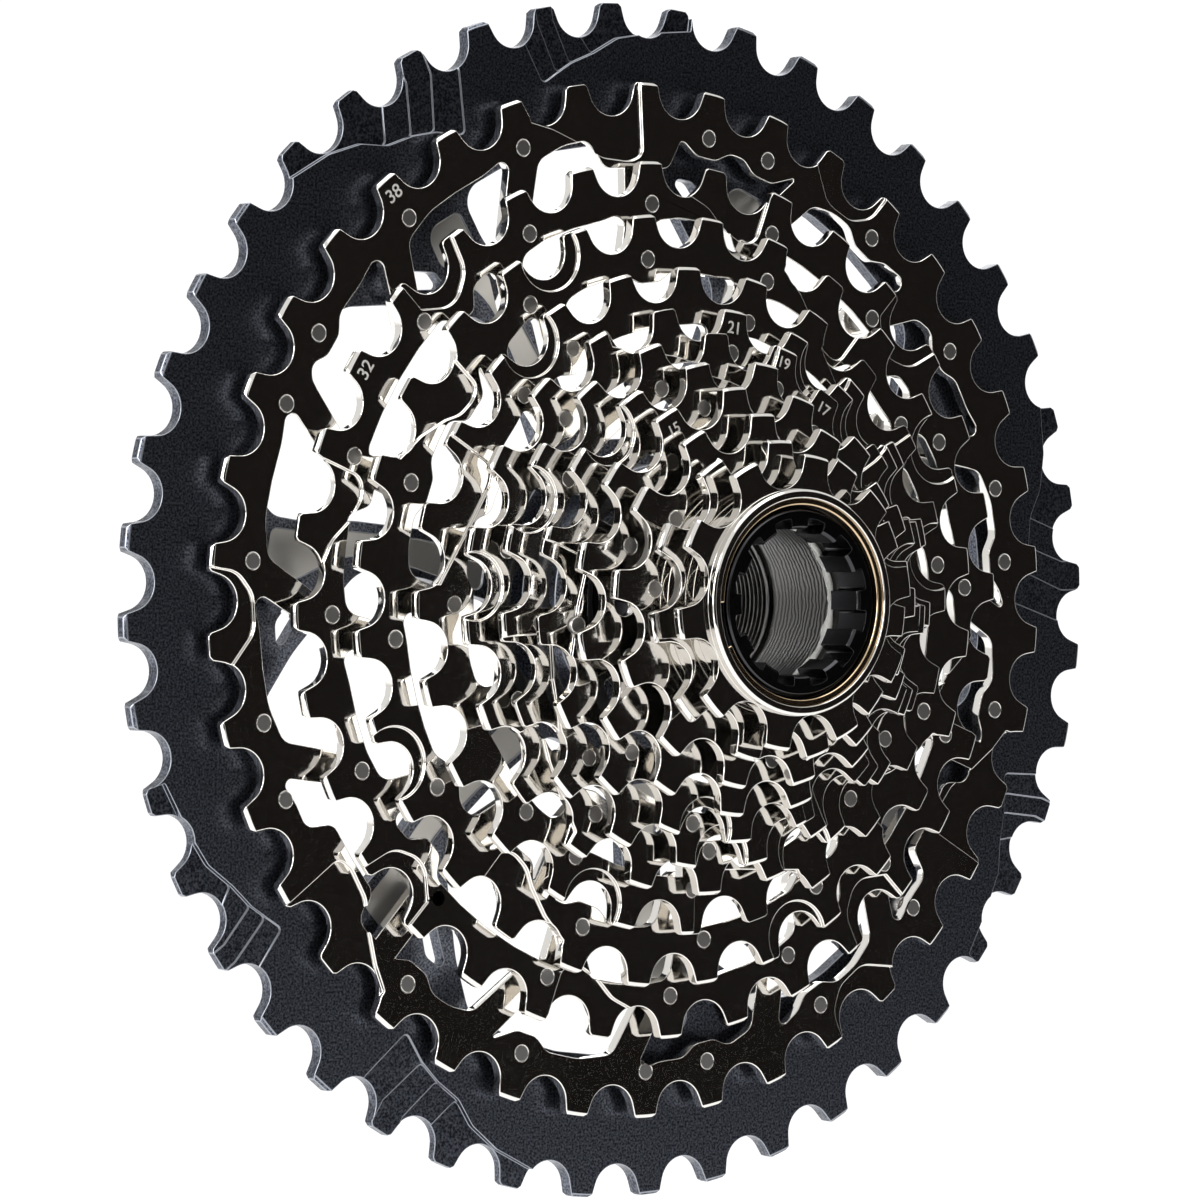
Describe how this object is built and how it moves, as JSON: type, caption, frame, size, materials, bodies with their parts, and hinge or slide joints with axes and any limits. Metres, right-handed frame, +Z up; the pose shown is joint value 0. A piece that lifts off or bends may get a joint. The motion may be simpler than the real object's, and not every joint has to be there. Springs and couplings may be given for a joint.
{
  "type": "cassette sprocket",
  "caption": "Stack of toothed cogs stepping from large to small on one axle, pinned together, with a lock tube turning freely in the middle.",
  "frame": {"origin": "centre of the pilot bore that fits over the driver body, level with the large cog's front face", "axes": "+Y along the axle from the small cogs to the large cog, +Z up, +X to the right when the small cogs face the viewer"},
  "size_m": [0.1802, 0.0456, 0.1802],
  "materials": {
    "black_aluminium": "blasted and black anodised",
    "plated_steel": "bright nickel plate",
    "pin_steel": "satin, riveted",
    "spring_bronze": "polished spring wire",
    "polymer": "moulded"
  },
  "bodies": {
    "cassette": {"sprocket_44t": "black_aluminium", "sprocket_38t": "plated_steel", "sprocket_32t": "plated_steel", "sprocket_28t": "plated_steel", "sprocket_24t": "plated_steel", "sprocket_21t": "plated_steel", "sprocket_19t": "plated_steel", "sprocket_17t": "plated_steel", "sprocket_15t": "plated_steel", "sprocket_13t": "plated_steel", "sprocket_11t": "plated_steel", "sprocket_10t": "plated_steel", "pins_38_to_44": "pin_steel", "pins_32_to_38": "pin_steel", "pins_28_to_32": "pin_steel", "pins_24_to_28": "pin_steel", "pins_21_to_24": "pin_steel", "pins_19_to_21": "pin_steel", "pins_17_to_19": "pin_steel", "pins_15_to_17": "pin_steel", "pins_13_to_15": "pin_steel", "retaining_ring": "spring_bronze", "glide_bush_front": "polymer", "glide_bush_rear": "polymer"},
    "tube": {"lock_tube": "black_aluminium"}
  },
  "joints": [
    {"name": "lock_tube_spin", "type": "hinge", "parent": "cassette", "child": "tube", "pos_m": [0, -0.025, 0], "axis": [0, 1, 0], "continuous": true}
  ]
}
